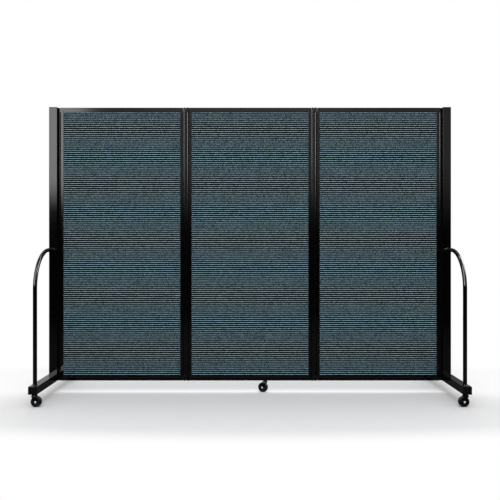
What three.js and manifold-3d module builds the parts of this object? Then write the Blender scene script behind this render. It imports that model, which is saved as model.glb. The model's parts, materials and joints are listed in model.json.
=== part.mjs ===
// A folding privacy screen on wheels, in millimetres, +Z up, front towards -Y.
// Three fabric panels in slim aluminium frames are joined by full-length double-pivot hinges.
// The two end panels are fixed to steel posts, and each post stands on a leg with two bent
// braces and two swivel casters. A fifth caster carries the middle panel.
// The origin is on the floor, under the middle of the open screen.
import * as THREE from 'three';
import { mergeVertices } from 'three/addons/utils/BufferGeometryUtils.js';
import Module from 'manifold-3d';

const wasm = await Module();
wasm.setup();

// Fits shared by all pieces
const seatGap = 0.3;
const boreGap = 0.4;
const cutOverrun = 2;

// Panels: one module is the distance between two hinge centre planes
const panelCount = 3;
const panelPitch = 800;
const frameHeight = 1703.5;
const frameDepth = 20;
const lipWall = 1.8;
const webWall = 2.5;
const stileFace = 15.8;
const railHeight = 27.3;
const railBoxHeight = 12.8;
const railBoxWall = 2.4;
const boardBite = 12;

// Hinges: two pins at each joint, held together by one full-length link
const pinOffset = 11;
const pinRadius = 3;
const pinHeadRadius = 4.6;
const pinHeadHeight = 4.2;
const pinHeadChamfer = 0.8;
const barrelRadius = 6;
const barrelNeck = 4.4;
const linkRadius = 7.2;
const linkPlay = 1;
const lugDepth = 14;
const webDepth = 9;

// Posts and the strips that join them to the end panels
const postSize = 50;
const postWall = 2;
const postCorner = 3;
const postRise = 0.5;
const postCapHeight = 5;
const postCapChamfer = 1;
const postCapPlug = 14;

// Legs
const legWidth = 50;
const legHeight = 44.5;
const legLength = 720;
const legWall = 2;
const legCorner = 2.5;
const legCapHeight = 3;
const legCapPlug = 10;
const weldNutRadius = 9;
const weldNutHeight = 8;

// Braces: bent tubes from the leg up to the post
const braceRadius = 11.5;
const braceWall = 1.5;
const braceInset = 39;
const braceHeight = 889;
const braceEndRun = 72;

// Casters
const wheelRadius = 30;
const wheelWidth = 22;
const wheelBevel = 4;
const wheelShoulder = 1.2;
const treadInset = 3.6;
const rimRadius = 20;
const hubRadius = 8.5;
const webRecess = 5;
const casterTrail = 13;
const casterInset = 25;
const middleCasterOffset = 94;
const swivelInwards = { left: 0, right: Math.PI };
const middleCasterSwivel = THREE.MathUtils.degToRad(158);
const axleRadius = 3;
const axleHeadRadius = 6;
const axleHeadHeight = 3;
const axleHeadDome = 1.4;
const forkGap = 1.2;
const forkWall = 3.5;
const forkBossRadius = 10;
const forkBossOpening = THREE.MathUtils.degToRad(20);
const forkFrontDrop = 6;
const forkRearLean = 2;
const forkShoulderDrop = 7.2;
const crownGap = 1.7;
const crownHeight = 6;
const raceRadius = 11.5;
const raceHeight = 5.7;
const raceChamfer = 1;
const stemRadius = 5;
const stemLength = 11.5;

// Facets
const tubeSides = 12;
const braceBendSteps = 10;
const wheelSides = 24;
const turnedSides = 12;
const barrelArcSteps = 6;
const cornerArcSteps = 2;

// Sizes that follow from the ones above
const casterHeight = 2 * wheelRadius + crownGap + crownHeight + seatGap + raceHeight + seatGap;
const frameTop = casterHeight + frameHeight;
const endPlane = panelCount * panelPitch / 2;
const stileStart = pinOffset + linkRadius + linkPlay;
const stileEdge = stileStart + stileFace;
const slotDepth = frameDepth - 2 * lipWall;
const boardDepth = slotDepth - 2 * seatGap;
const linkHeight = railHeight;
const legTop = casterHeight + legHeight;
const postX = endPlane + postSize / 2;
const postTop = frameTop + postRise;

// Materials
const aluminium = new THREE.MeshStandardMaterial({ color: 0x141416, roughness: 0.22, metalness: 0.4 });
const paintedSteel = new THREE.MeshStandardMaterial({ color: 0x0c0c0d, roughness: 0.12, metalness: 0.3 });
const fabric = new THREE.MeshStandardMaterial({ color: 0x3c5663, roughness: 0.95, metalness: 0 });
const darkSteel = new THREE.MeshStandardMaterial({ color: 0x2a2b2d, roughness: 0.3, metalness: 0.9 });
const brightSteel = new THREE.MeshStandardMaterial({ color: 0xc9cbcd, roughness: 0.2, metalness: 1 });
const capPlastic = new THREE.MeshStandardMaterial({ color: 0x0d0d0e, roughness: 0.45, metalness: 0 });
const forkPlastic = new THREE.MeshStandardMaterial({ color: 0x111113, roughness: 0.35, metalness: 0 });
const wheelRubber = new THREE.MeshStandardMaterial({ color: 0x1b1b1c, roughness: 0.6, metalness: 0 });

const screen = new THREE.Group();

function addPiece(parent, name, geometry, material) {
  const mesh = new THREE.Mesh(geometry, material);
  mesh.name = name;
  parent.add(mesh);
  return mesh;
}

// Joining and cutting
function solidOf(geometry) {
  const bare = geometry.index ? geometry.toNonIndexed() : geometry.clone();
  bare.deleteAttribute('normal');
  bare.deleteAttribute('uv');
  const merged = mergeVertices(bare);
  return new wasm.Manifold(new wasm.Mesh({
    numProp: 3,
    vertProperties: new Float32Array(merged.attributes.position.array),
    triVerts: new Uint32Array(merged.index.array),
  }));
}

function geometryOf(solid) {
  const mesh = solid.getMesh();
  const geometry = new THREE.BufferGeometry();
  geometry.setAttribute('position', new THREE.BufferAttribute(mesh.vertProperties, mesh.numProp));
  geometry.setIndex(new THREE.BufferAttribute(mesh.triVerts, 1));
  return geometry;
}

// Extrusions: a prism is centred on its length, which runs along the named axis
const axisX = new THREE.Vector3(1, 0, 0);
const axisY = new THREE.Vector3(0, 1, 0);
const axisZ = new THREE.Vector3(0, 0, 1);
const alongX = new THREE.Matrix4().makeBasis(axisY, axisZ, axisX);
const alongY = new THREE.Matrix4().makeBasis(axisX, axisZ, axisY.clone().negate());

function prism(shape, length, arcSteps, direction = null) {
  const geometry = new THREE.ExtrudeGeometry(shape, {
    depth: length, bevelEnabled: false, curveSegments: arcSteps,
  });
  geometry.translate(0, 0, -length / 2);
  if (direction) geometry.applyMatrix4(direction);
  return geometry;
}

function block(lowX, highX, lowY, highY, lowZ, highZ) {
  const geometry = new THREE.BoxGeometry(highX - lowX, highY - lowY, highZ - lowZ);
  return geometry.translate((lowX + highX) / 2, (lowY + highY) / 2, (lowZ + highZ) / 2);
}

// A bore's flats, not its corners, keep the gap to the round piece inside
function boreRadius(radius) {
  return (radius + boreGap) / Math.cos(Math.PI / turnedSides);
}

function uprightBore(radius, x, y, lowZ, highZ) {
  const geometry = new THREE.CylinderGeometry(radius, radius, highZ - lowZ, turnedSides);
  geometry.rotateX(Math.PI / 2);
  return solidOf(geometry.translate(x, y, (lowZ + highZ) / 2));
}

function outline(points) {
  return new THREE.Shape(points.map(([x, y]) => new THREE.Vector2(x, y)));
}

function roundedRectangle(width, height, radius) {
  const x = width / 2;
  const y = height / 2;
  const shape = new THREE.Shape();
  shape.absarc(x - radius, y - radius, radius, 0, Math.PI / 2, false);
  shape.absarc(radius - x, y - radius, radius, Math.PI / 2, Math.PI, false);
  shape.absarc(radius - x, radius - y, radius, Math.PI, -Math.PI / 2, false);
  shape.absarc(x - radius, radius - y, radius, -Math.PI / 2, 0, false);
  shape.closePath();
  return shape;
}

// A turned piece: the profile is given as radius and height, and the axis is Z
function turned(profile, sides) {
  const points = profile.map(([radius, height]) => new THREE.Vector2(radius, height));
  return new THREE.LatheGeometry(points, sides).rotateX(Math.PI / 2);
}

// Panel stile: one extrusion with a channel for the board, a narrow neck and the hinge barrel.
// It is drawn for a left-hand edge, with x measured from the hinge centre plane.
function stileProfile() {
  const half = frameDepth / 2;
  const neck = barrelNeck / 2;
  const neckAngle = Math.asin(neck / barrelRadius);
  const shape = new THREE.Shape();
  shape.moveTo(stileStart, -neck);
  shape.lineTo(stileStart, -half);
  shape.lineTo(stileEdge, -half);
  shape.lineTo(stileEdge, lipWall - half);
  shape.lineTo(stileStart + webWall, lipWall - half);
  shape.lineTo(stileStart + webWall, half - lipWall);
  shape.lineTo(stileEdge, half - lipWall);
  shape.lineTo(stileEdge, half);
  shape.lineTo(stileStart, half);
  shape.lineTo(stileStart, neck);
  shape.absarc(pinOffset, 0, barrelRadius, neckAngle, 2 * Math.PI - neckAngle, false);
  shape.closePath();
  return shape;
}

// An inner stile leaves room for the links, an outer stile has a lug at each end instead
function stile(isHinged) {
  const middle = casterHeight + frameHeight / 2;
  let solid = solidOf(prism(stileProfile(), frameHeight, barrelArcSteps).translate(0, 0, middle));
  const barrelSide = pinOffset - barrelRadius - cutOverrun;
  const reach = linkHeight + seatGap;
  const ends = [
    [casterHeight - cutOverrun, casterHeight + reach],
    [frameTop - reach, frameTop + cutOverrun],
  ];
  const lugs = [
    [casterHeight, casterHeight + linkHeight],
    [frameTop - linkHeight, frameTop],
  ];
  if (isHinged) {
    const side = barrelRadius + cutOverrun;
    for (const [low, high] of ends) {
      solid = solid.subtract(solidOf(block(barrelSide, stileStart, -side, side, low, high)));
    }
  } else {
    for (const [low, high] of lugs) {
      const lug = block(pinOffset, stileStart + webWall / 2, -lugDepth / 2, lugDepth / 2, low, high);
      solid = solid.add(solidOf(lug));
    }
  }
  const low = casterHeight - cutOverrun;
  return geometryOf(solid.subtract(
    uprightBore(boreRadius(pinRadius), pinOffset, 0, low, frameTop + cutOverrun)));
}

// Panel rail: an extruded channel for the board over a hollow box. The box runs on at both
// ends as a tongue that fills the stile's channel. The channel opens upwards.
function railGeometry(stemBoreX) {
  const half = frameDepth / 2;
  const slot = slotDepth / 2;
  const length = panelPitch - 2 * (stileEdge + seatGap);
  const tongueLength = panelPitch - 2 * (stileStart + webWall + seatGap);
  const channel = outline([
    [-half, 0], [half, 0], [half, railHeight], [slot, railHeight], [slot, railBoxHeight],
    [-slot, railBoxHeight], [-slot, railHeight], [-half, railHeight],
  ]);
  const tongue = outline([
    [-boardDepth / 2, 0], [boardDepth / 2, 0],
    [boardDepth / 2, railBoxHeight], [-boardDepth / 2, railBoxHeight],
  ]);
  const coreHalf = boardDepth / 2 - railBoxWall;
  const core = outline([
    [-coreHalf, railBoxWall], [coreHalf, railBoxWall],
    [coreHalf, railBoxHeight - railBoxWall], [-coreHalf, railBoxHeight - railBoxWall],
  ]);
  let solid = solidOf(prism(channel, length, 1, alongX));
  solid = solid.add(solidOf(prism(tongue, tongueLength, 1, alongX)));
  solid = solid.subtract(solidOf(prism(core, tongueLength + 2 * cutOverrun, 1, alongX)));
  if (stemBoreX !== null) {
    solid = solid.subtract(
      uprightBore(boreRadius(stemRadius), stemBoreX, 0, -cutOverrun, railBoxHeight + cutOverrun));
  }
  return geometryOf(solid);
}

// The fabric-covered board sits in the channels on all four sides
function boardGeometry() {
  const width = panelPitch - 2 * (stileStart + webWall + seatGap);
  const height = frameHeight - 2 * (railHeight - boardBite);
  return new THREE.BoxGeometry(width, boardDepth, height);
}

function addPanel(number, centreX, isFirst, isLast) {
  const name = `panel_${number}`;
  const carriesCaster = !isFirst && !isLast;
  const leftPlane = new THREE.Group();
  leftPlane.position.x = centreX - panelPitch / 2;
  addPiece(leftPlane, `${name}_left_stile`, stile(!isFirst), aluminium);
  const rightPlane = new THREE.Group();
  rightPlane.position.x = centreX + panelPitch / 2;
  rightPlane.rotation.z = Math.PI;
  addPiece(rightPlane, `${name}_right_stile`, stile(!isLast), aluminium);
  screen.add(leftPlane, rightPlane);

  const stemBoreX = carriesCaster ? middleCasterOffset : null;
  const bottom = addPiece(screen, `${name}_bottom_rail`, railGeometry(stemBoreX), aluminium);
  bottom.position.set(centreX, 0, casterHeight);
  const top = addPiece(screen, `${name}_top_rail`, railGeometry(null), aluminium);
  top.position.set(centreX, 0, frameTop);
  top.rotation.x = Math.PI;
  const board = addPiece(screen, `${name}_board`, boardGeometry(), fabric);
  board.position.set(centreX, 0, casterHeight + frameHeight / 2);
}

// Hinge web: the strip that closes the gap between two barrels, hollowed to seat them. A side
// with no barrel is flat, at the given distance from the hinge centre plane.
function webProfile(flatX) {
  const half = webDepth / 2;
  const seatRadius = barrelRadius + seatGap;
  const spread = Math.asin(half / seatRadius);
  const shape = new THREE.Shape();
  shape.absarc(pinOffset, 0, seatRadius, Math.PI + spread, Math.PI - spread, true);
  if (flatX === null) {
    shape.absarc(-pinOffset, 0, seatRadius, spread, -spread, true);
  } else {
    shape.lineTo(flatX, half);
    shape.lineTo(flatX, -half);
  }
  shape.closePath();
  return shape;
}

// Hinge link: full-width knuckles at its two ends take the pins, and between them only the
// web is left, so that the barrels of both panels fit in
function linkGeometry() {
  const knuckle = new THREE.Shape();
  knuckle.absarc(pinOffset, 0, linkRadius, -Math.PI / 2, Math.PI / 2, false);
  knuckle.absarc(-pinOffset, 0, linkRadius, Math.PI / 2, 3 * Math.PI / 2, false);
  knuckle.closePath();
  const end = frameHeight / 2;
  let solid = solidOf(prism(webProfile(null), frameHeight, barrelArcSteps));
  for (const z of [linkHeight / 2 - end, end - linkHeight / 2]) {
    solid = solid.add(solidOf(prism(knuckle, linkHeight, barrelArcSteps).translate(0, 0, z)));
  }
  for (const x of [-pinOffset, pinOffset]) {
    solid = solid.subtract(
      uprightBore(boreRadius(pinRadius), x, 0, -end - cutOverrun, end + cutOverrun));
  }
  return geometryOf(solid);
}

// Hinge pin: a full-length rod with a peened head at both ends
function pinGeometry() {
  const end = frameHeight / 2 + seatGap;
  const tip = end + pinHeadHeight;
  const rim = pinHeadRadius - pinHeadChamfer;
  return turned([
    [0, -tip], [rim, -tip], [pinHeadRadius, pinHeadChamfer - tip], [pinHeadRadius, -end],
    [pinRadius, -end], [pinRadius, end],
    [pinHeadRadius, end], [pinHeadRadius, tip - pinHeadChamfer], [rim, tip], [0, tip],
  ], turnedSides);
}

function addHinge(number, planeX) {
  const name = `hinge_${number}`;
  const middle = casterHeight + frameHeight / 2;
  const link = addPiece(screen, `${name}_link`, linkGeometry(), aluminium);
  link.position.set(planeX, 0, middle);
  for (const [side, x] of [['left', -pinOffset], ['right', pinOffset]]) {
    const pin = addPiece(screen, `${name}_${side}_pin`, pinGeometry(), darkSteel);
    pin.position.set(planeX + x, 0, middle);
  }
}

// Post: a square tube that stands on the leg and is closed by a cap
function postGeometry() {
  const low = legTop + seatGap;
  const high = postTop - postCapHeight - seatGap;
  const shape = roundedRectangle(postSize, postSize, postCorner);
  const bore = postSize - 2 * postWall;
  shape.holes.push(roundedRectangle(bore, bore, postCorner - postWall));
  return prism(shape, high - low, cornerArcSteps).translate(0, 0, (low + high) / 2);
}

// Cap: a plate over the tube's end with a plug inside it. It closes an end that faces up.
function capGeometry(width, height, corner, wall, plateHeight, plugLength, chamfer) {
  const plugWidth = width - 2 * (wall + seatGap);
  const plugHeight = height - 2 * (wall + seatGap);
  const plug = roundedRectangle(plugWidth, plugHeight, corner - wall);
  const plate = new THREE.ExtrudeGeometry(roundedRectangle(width, height, corner), {
    depth: plateHeight - chamfer, bevelEnabled: false, curveSegments: cornerArcSteps,
  });
  const crown = new THREE.ExtrudeGeometry(
    roundedRectangle(width - 2 * chamfer, height - 2 * chamfer, corner), {
      depth: plateHeight, bevelEnabled: false, curveSegments: cornerArcSteps,
    });
  const plugSolid = prism(plug, plugLength + plateHeight, cornerArcSteps);
  plugSolid.translate(0, 0, (plateHeight - plugLength) / 2);
  return geometryOf(solidOf(plate).add(solidOf(crown)).add(solidOf(plugSolid)));
}

// Strip between the post and the end panel, which seats the panel's outer barrel
function stripGeometry() {
  const middle = casterHeight + frameHeight / 2;
  return prism(webProfile(seatGap), frameHeight, barrelArcSteps).translate(0, 0, middle);
}

// Leg: a tube along Y with a weld nut over each caster's stem
function legGeometry() {
  const shape = roundedRectangle(legWidth, legHeight, legCorner);
  shape.holes.push(roundedRectangle(legWidth - 2 * legWall, legHeight - 2 * legWall, legCorner - legWall));
  const length = legLength - 2 * (legCapHeight + seatGap);
  const middle = casterHeight + legHeight / 2;
  let solid = solidOf(prism(shape, length, cornerArcSteps, alongY).translate(0, 0, middle));
  for (const y of casterRows()) {
    const inside = casterHeight + legWall;
    const nutLow = inside - legWall / 2;
    solid = solid.add(uprightBore(weldNutRadius, 0, y, nutLow, inside + weldNutHeight));
    solid = solid.subtract(uprightBore(
      boreRadius(stemRadius), 0, y, casterHeight - cutOverrun, inside + weldNutHeight + cutOverrun));
  }
  return geometryOf(solid);
}

function casterRows() {
  const y = legLength / 2 - casterInset;
  return [-y, y];
}

// Brace: it rises straight from the leg, bends a quarter turn and runs level into the post.
// Each straight run is one step of the sweep, and the bend takes the rest.
class BracePath extends THREE.Curve {
  constructor() {
    super();
    this.steps = braceBendSteps + 2;
    this.reach = legLength / 2 - braceInset;
    this.bend = this.reach - postSize / 2 - braceEndRun;
    this.low = legTop + seatGap;
    this.end = postSize / 2 + seatGap;
  }

  getUtoTmapping(u) {
    return u;
  }

  getPoint(t, target = new THREE.Vector3()) {
    const step = t * this.steps;
    const bendLow = braceHeight - this.bend;
    if (step <= 1) {
      return target.set(0, -this.reach, THREE.MathUtils.lerp(this.low, bendLow, step));
    }
    if (step >= this.steps - 1) {
      const run = step - (this.steps - 1);
      return target.set(0, THREE.MathUtils.lerp(this.bend - this.reach, -this.end, run), braceHeight);
    }
    const angle = (step - 1) / braceBendSteps * Math.PI / 2;
    return target.set(
      0,
      this.bend - this.reach - this.bend * Math.cos(angle),
      bendLow + this.bend * Math.sin(angle),
    );
  }
}

function braceGeometry() {
  const shape = new THREE.Shape().absarc(0, 0, braceRadius, 0, 2 * Math.PI, false);
  shape.holes.push(new THREE.Path().absarc(0, 0, braceRadius - braceWall, 0, 2 * Math.PI, true));
  const path = new BracePath();
  return new THREE.ExtrudeGeometry(shape, {
    extrudePath: path, steps: path.steps, bevelEnabled: false, curveSegments: tubeSides / 2,
  });
}

function addEnd(side, direction) {
  const end = new THREE.Group();
  end.position.x = direction * postX;
  screen.add(end);
  addPiece(end, `${side}_post`, postGeometry(), paintedSteel);
  const postCap = addPiece(end, `${side}_post_cap`, capGeometry(
    postSize, postSize, postCorner, postWall, postCapHeight, postCapPlug, postCapChamfer), capPlastic);
  postCap.position.z = postTop - postCapHeight;

  const plane = new THREE.Group();
  plane.position.x = direction * endPlane;
  if (direction > 0) plane.rotation.z = Math.PI;
  screen.add(plane);
  addPiece(plane, `${side}_post_strip`, stripGeometry(), capPlastic);

  addPiece(end, `${side}_leg`, legGeometry(), paintedSteel);
  for (const [face, turn] of [['front', 1], ['rear', -1]]) {
    const cap = addPiece(end, `${side}_leg_${face}_cap`, capGeometry(
      legWidth, legHeight, legCorner, legWall, legCapHeight, legCapPlug, 0), capPlastic);
    cap.rotation.x = turn * Math.PI / 2;
    cap.position.set(0, turn * (legCapHeight - legLength / 2), casterHeight + legHeight / 2);
    const brace = addPiece(end, `${side}_${face}_brace`, braceGeometry(), paintedSteel);
    if (turn < 0) brace.rotation.z = Math.PI;
  }
  const [frontRow, rearRow] = casterRows();
  addCaster(`${side}_front_caster`, direction * postX, frontRow, swivelInwards[side]);
  addCaster(`${side}_rear_caster`, direction * postX, rearRow, swivelInwards[side]);
}

// Caster stem: it screws into the leg or rail above, and the fork turns on the pin below its race
function stemGeometry() {
  const raceTop = casterHeight - seatGap;
  const raceLow = raceTop - raceHeight;
  const pinLow = raceLow - seatGap - crownHeight;
  return turned([
    [0, pinLow], [stemRadius, pinLow], [stemRadius, raceLow],
    [raceRadius - raceChamfer, raceLow], [raceRadius, raceLow + raceChamfer], [raceRadius, raceTop],
    [stemRadius, raceTop], [stemRadius, casterHeight + stemLength], [0, casterHeight + stemLength],
  ], turnedSides);
}

// Caster fork: its raked side view and its horseshoe front view are each extruded, and the
// fork is what the two have in common
function forkGeometry() {
  const crownLow = 2 * wheelRadius + crownGap;
  const crownTop = crownLow + crownHeight;
  const side = new THREE.Shape();
  side.moveTo(-raceRadius, crownTop);
  side.lineTo(-raceRadius, crownTop - forkFrontDrop);
  side.absarc(casterTrail, wheelRadius, forkBossRadius,
    Math.PI - forkBossOpening, forkBossOpening, false);
  side.lineTo(raceRadius + forkRearLean, crownTop);
  side.closePath();

  const inner = wheelWidth / 2 + forkGap;
  const outer = inner + forkWall;
  const low = wheelRadius - forkBossRadius - cutOverrun;
  const front = outline([
    [outer, low], [outer, crownTop - forkShoulderDrop], [raceRadius, crownTop],
    [-raceRadius, crownTop], [-outer, crownTop - forkShoulderDrop], [-outer, low],
    [-inner, low], [-inner, crownLow], [inner, crownLow], [inner, low],
  ]);

  const span = 2 * (casterTrail + forkBossRadius + raceRadius);
  let solid = solidOf(prism(side, 2 * (outer + cutOverrun), barrelArcSteps, alongY));
  solid = solid.intersect(solidOf(prism(front, span, 1, alongX)));
  solid = solid.subtract(uprightBore(
    boreRadius(stemRadius), 0, 0, crownLow - cutOverrun, crownTop + cutOverrun));
  const axleBore = new THREE.CylinderGeometry(
    boreRadius(axleRadius), boreRadius(axleRadius), 2 * (outer + cutOverrun), turnedSides);
  return geometryOf(solid.subtract(solidOf(axleBore.translate(casterTrail, 0, wheelRadius))));
}

// Axle: a bolt across the fork with a domed head on each side
function axleGeometry() {
  const face = wheelWidth / 2 + forkGap + forkWall + seatGap;
  const tip = face + axleHeadHeight;
  const rim = axleHeadRadius - axleHeadDome;
  return new THREE.LatheGeometry([
    [0, -tip], [rim, -tip], [axleHeadRadius, axleHeadDome - tip], [axleHeadRadius, -face],
    [axleRadius, -face], [axleRadius, face],
    [axleHeadRadius, face], [axleHeadRadius, tip - axleHeadDome], [rim, tip], [0, tip],
  ].map(([radius, y]) => new THREE.Vector2(radius, y)), turnedSides);
}

// Wheel: a crowned tread on a dished core with a hub, turned so that one flat faces the floor
function wheelGeometry() {
  const toCorner = 1 / Math.cos(Math.PI / wheelSides);
  const half = wheelWidth / 2;
  const tread = wheelRadius * toCorner;
  const bore = boreRadius(axleRadius);
  const side = [
    [bore, half], [hubRadius, half], [hubRadius + wheelShoulder, half - webRecess],
    [rimRadius, half - webRecess], [rimRadius + wheelShoulder, half],
    [tread - treadInset, half], [tread, half - wheelBevel],
  ];
  const mirrored = side.slice().reverse().map(([radius, y]) => [radius, -y]);
  const profile = [...side, ...mirrored, side[0]];
  const points = profile.map(([radius, y]) => new THREE.Vector2(radius, y)).reverse();
  return new THREE.LatheGeometry(points, wheelSides, Math.PI / wheelSides);
}

// The wheel trails along +X from its stem, turned by the swivel angle
function addCaster(name, x, y, swivel) {
  const caster = new THREE.Group();
  caster.position.set(x, y, 0);
  caster.rotation.z = swivel;
  screen.add(caster);
  addPiece(caster, `${name}_stem`, stemGeometry(), darkSteel);
  addPiece(caster, `${name}_fork`, forkGeometry(), forkPlastic);
  const axle = addPiece(caster, `${name}_axle`, axleGeometry(), brightSteel);
  axle.position.set(casterTrail, 0, wheelRadius);
  const wheel = addPiece(caster, `${name}_wheel`, wheelGeometry(), wheelRubber);
  wheel.position.set(casterTrail, 0, wheelRadius);
}

// Assembly, from left to right
for (let index = 0; index < panelCount; index += 1) {
  const centreX = (index + 0.5) * panelPitch - endPlane;
  const isFirst = index === 0;
  const isLast = index === panelCount - 1;
  addPanel(index + 1, centreX, isFirst, isLast);
  if (!isLast) addHinge(index + 1, centreX + panelPitch / 2);
  if (!isFirst && !isLast) {
    const name = index === 1 ? 'middle_caster' : `middle_caster_${index}`;
    addCaster(name, centreX + middleCasterOffset, 0, middleCasterSwivel);
  }
}
addEnd('left', -1);
addEnd('right', 1);

export default screen;
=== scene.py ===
"""A folding privacy screen on wheels: three fabric panels in black aluminium frames, hinged in
pairs, between two braced steel posts on casters. Metres, +Z up, front towards -Y."""
import json
import math

import bpy
from mathutils import Matrix, Vector


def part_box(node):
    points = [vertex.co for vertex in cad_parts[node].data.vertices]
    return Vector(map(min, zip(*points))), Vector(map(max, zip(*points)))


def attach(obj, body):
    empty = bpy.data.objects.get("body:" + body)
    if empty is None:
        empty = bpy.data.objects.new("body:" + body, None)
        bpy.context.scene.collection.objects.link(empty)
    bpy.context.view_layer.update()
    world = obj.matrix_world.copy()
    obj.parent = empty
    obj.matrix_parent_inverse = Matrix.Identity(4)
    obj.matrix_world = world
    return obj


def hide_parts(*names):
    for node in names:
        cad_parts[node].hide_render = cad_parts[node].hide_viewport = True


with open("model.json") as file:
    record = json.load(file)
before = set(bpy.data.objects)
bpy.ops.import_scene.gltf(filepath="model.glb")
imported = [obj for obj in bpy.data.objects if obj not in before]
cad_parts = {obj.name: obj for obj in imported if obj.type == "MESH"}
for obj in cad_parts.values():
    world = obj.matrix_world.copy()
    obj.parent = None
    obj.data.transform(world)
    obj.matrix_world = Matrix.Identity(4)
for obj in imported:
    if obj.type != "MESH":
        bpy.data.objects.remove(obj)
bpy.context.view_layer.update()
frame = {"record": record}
body_of_node = {
    node: body for body, nodes in frame["record"]["behaviour"]["bodies"].items() for node in nodes
}

# The camera is level, 3.56 m in front of the middle of the screen and half as high as the posts.
# Its focal length is measured in pixels of the 500-pixel picture.
picture_width = 500
focal_length = 568.9
camera_distance = 3.562
camera_height = 0.889
bpy.ops.object.select_all(action="DESELECT")
bpy.ops.object.camera_add(
    location=(0, -camera_distance, camera_height), rotation=(math.pi / 2, 0, 0))
camera = bpy.context.object
camera.data.lens = camera.data.sensor_width * focal_length / picture_width
bpy.context.scene.camera = camera

# Panel stiles. Each upright is one black anodised aluminium extrusion: a channel that takes the
# board, a narrow neck and a round hinge barrel. Anodising gives a smooth, dark, slightly satin
# skin, and the die leaves faint lines along the length.
MM = 0.001
pin_offset = 11 * MM
barrel_radius = 6 * MM
barrel_neck = 4.4 * MM
stile_start = 19.2 * MM
stile_edge = 35 * MM
channel_web = 2.5 * MM
channel_lip = 1.8 * MM
frame_depth = 20 * MM
link_height = 27.3 * MM
pin_bore = 3.4 * MM
lug_half = 7 * MM
running_gap = 0.3 * MM
sunk = 0.5 * MM
same_point = 0.001 * MM
extrusion_edge = 0.3 * MM
round_steps = 40


def linear(colour):
    """A hex colour, such as 14161a, as linear red, green, blue and alpha."""
    channels = [int(colour[i:i + 2], 16) / 255 for i in (0, 2, 4)]
    return (*(c / 12.92 if c <= 0.04045 else ((c + 0.055) / 1.055) ** 2.4 for c in channels), 1)


def node(tree, kind, inputs=None, **settings):
    """Add a node, set its properties, and set or link its inputs.

    The inputs 2 and 3 of a Mix node are its two values, and 6 and 7 are its two colours.
    """
    made = tree.nodes.new(kind)
    for name, value in settings.items():
        setattr(made, name, value)
    for name, value in (inputs or {}).items():
        if isinstance(value, bpy.types.NodeSocket):
            tree.links.new(value, made.inputs[name])
        else:
            made.inputs[name].default_value = value
    return made


def new_material(name):
    """A new material, and its node tree with nothing in it."""
    material = bpy.data.materials.new(name)
    material.use_nodes = True
    material.node_tree.nodes.clear()
    return material, material.node_tree


def alone(piece):
    """Leave edit mode and select this piece alone."""
    if bpy.context.mode != "OBJECT":
        bpy.ops.object.mode_set(mode="OBJECT")
    bpy.ops.object.select_all(action="DESELECT")
    piece.select_set(True)
    bpy.context.view_layer.objects.active = piece


def trace(name, points, filled=True):
    """Draw an outline from point to point, and close and fill it if asked. Stays in edit mode."""
    if bpy.context.mode != "OBJECT":
        bpy.ops.object.mode_set(mode="OBJECT")
    bpy.ops.object.select_all(action="DESELECT")
    bpy.ops.mesh.primitive_plane_add(size=MM, location=points[0])
    bpy.context.object.name = name
    bpy.ops.object.mode_set(mode="EDIT")
    bpy.ops.mesh.merge(type="CENTER")
    for here, there in zip(points, points[1:]):
        step = Vector(there) - Vector(here)
        bpy.ops.mesh.extrude_vertices_move(TRANSFORM_OT_translate={"value": step})
    bpy.ops.mesh.select_all(action="SELECT")
    if filled:
        bpy.ops.mesh.edge_face_add()
    return bpy.context.object


def pull(shift):
    """Extrude what is selected, and move it."""
    bpy.ops.mesh.extrude_region_move(TRANSFORM_OT_translate={"value": shift})


def arc(centre, radius, start, end, steps):
    """Points on an arc, from one angle in degrees to another."""
    angles = [math.radians(start + (end - start) * i / steps) for i in range(steps + 1)]
    return [(centre[0] + radius * math.cos(a), centre[1] + radius * math.sin(a)) for a in angles]


def join(pieces):
    """Make one mesh of several pieces, under the first one's name."""
    alone(pieces[0])
    for piece in pieces:
        piece.select_set(True)
    bpy.ops.object.join()
    return pieces[0]


def finish(piece, edge=0.0, segments=2, crease=35):
    """Merge doubles, face outwards, apply the place, round the sharp edges and shade smooth."""
    alone(piece)
    bpy.ops.object.mode_set(mode="EDIT")
    bpy.ops.mesh.select_all(action="SELECT")
    bpy.ops.mesh.remove_doubles(threshold=same_point)
    bpy.ops.mesh.normals_make_consistent(inside=False)
    bpy.ops.object.mode_set(mode="OBJECT")
    bpy.ops.object.transform_apply(location=True, rotation=True, scale=True)
    if edge:
        bpy.ops.object.shade_smooth()
        bpy.ops.object.modifier_add(type="BEVEL")
        rounding = piece.modifiers[-1]
        rounding.width = edge
        rounding.segments = segments
        rounding.limit_method = "ANGLE"
        rounding.angle_limit = math.radians(crease)
        rounding.harden_normals = True
        bpy.ops.object.modifier_apply(modifier=rounding.name)
    else:
        bpy.ops.object.shade_smooth_by_angle(angle=math.radians(crease))
    return piece


def cut(piece, tool, operation):
    """Cut one closed shape with another."""
    alone(piece)
    bpy.ops.object.modifier_add(type="BOOLEAN")
    piece.modifiers[-1].operation = operation
    piece.modifiers[-1].object = tool
    bpy.ops.object.modifier_apply(modifier=piece.modifiers[-1].name)


def place_copy(piece, name, shift=(0, 0, 0), turn=0.0):
    """Copy a finished piece, turn it about the upright axis and move it."""
    alone(piece)
    bpy.ops.object.duplicate()
    twin = bpy.context.object
    twin.name = name
    twin.rotation_euler.z = turn
    twin.location = shift
    bpy.ops.object.transform_apply(location=True, rotation=True, scale=True)
    return twin


def middle_of(node_name):
    """The middle of a node's box."""
    low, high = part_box(node_name)
    return (low + high) / 2


def copy_to(model, model_node, node_name, turn=0.0):
    """Copy the piece that stands at one node to a node like it, turned about the upright axis."""
    turned_middle = Matrix.Rotation(turn, 3, "Z") @ middle_of(model_node)
    return place_copy(model, "dressed_" + node_name, middle_of(node_name) - turned_middle, turn)


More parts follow.
